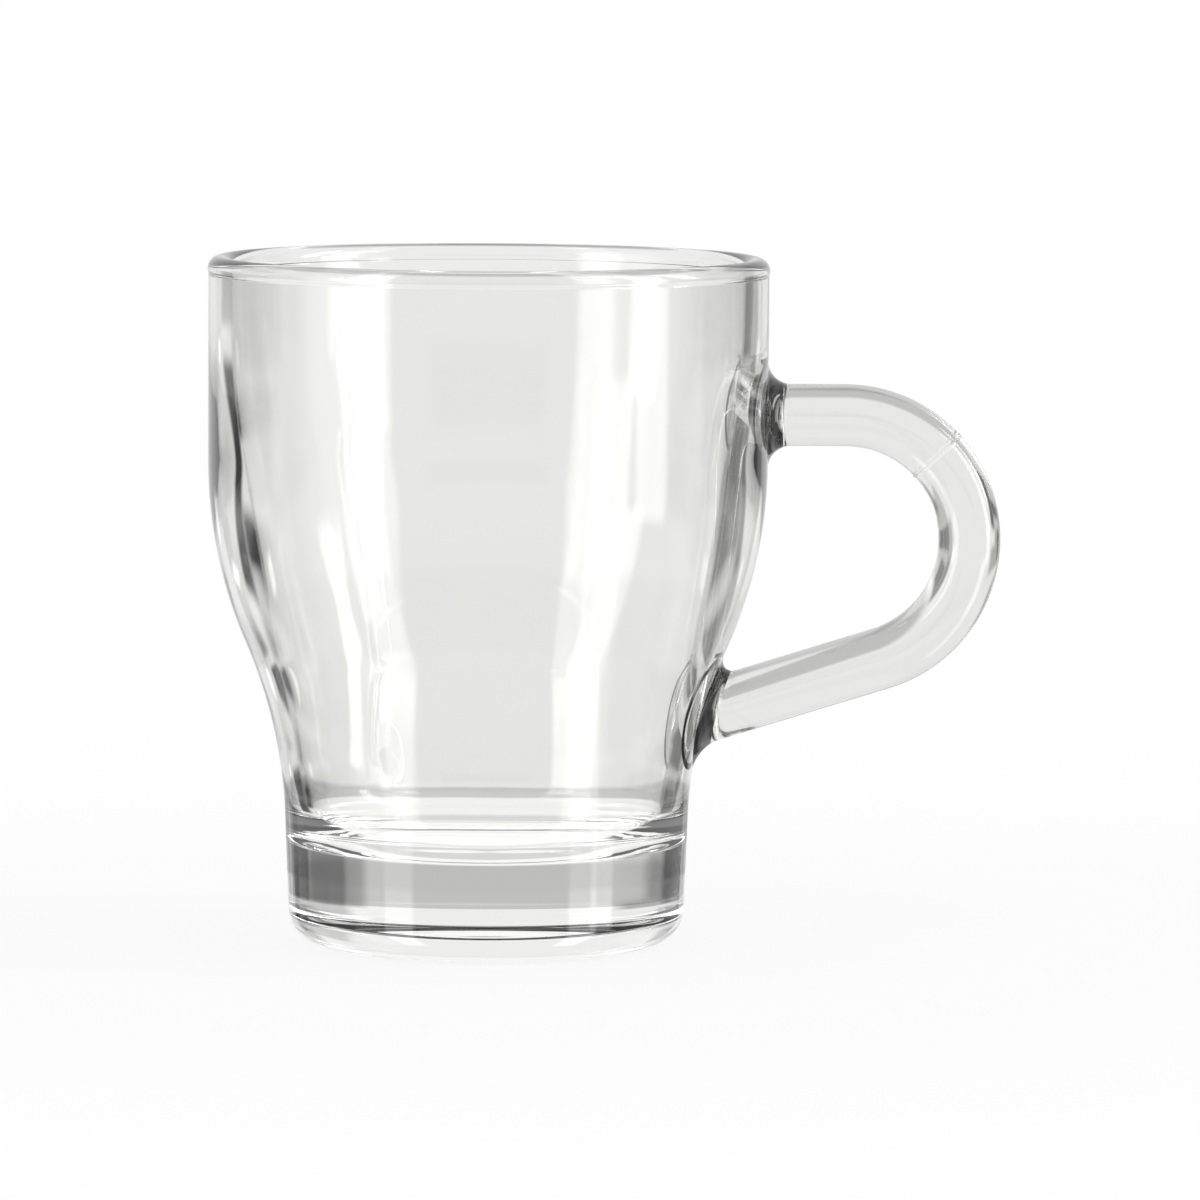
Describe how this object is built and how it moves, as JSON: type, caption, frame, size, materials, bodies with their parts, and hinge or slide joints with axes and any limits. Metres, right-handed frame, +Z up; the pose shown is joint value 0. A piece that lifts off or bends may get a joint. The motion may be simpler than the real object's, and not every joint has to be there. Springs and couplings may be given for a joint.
{
  "type": "handled coffee glass",
  "caption": "Small clear glass for a short milky coffee: straight-sided bowl drawn in to a heavy solid foot, with a round rod handle fused to its side.",
  "frame": {"origin": "on the bowl's axis, in the plane of the flat ring under the foot that the glass stands on", "axes": "+Z up along the bowl's axis, +X from the bowl's axis towards the handle"},
  "size_m": [0.1022, 0.0722, 0.0883],
  "materials": {
    "bowl_glass": "gloss",
    "handle_glass": "gloss"
  },
  "bodies": {
    "root": {"bowl": "bowl_glass", "handle": "handle_glass"}
  },
  "joints": []
}
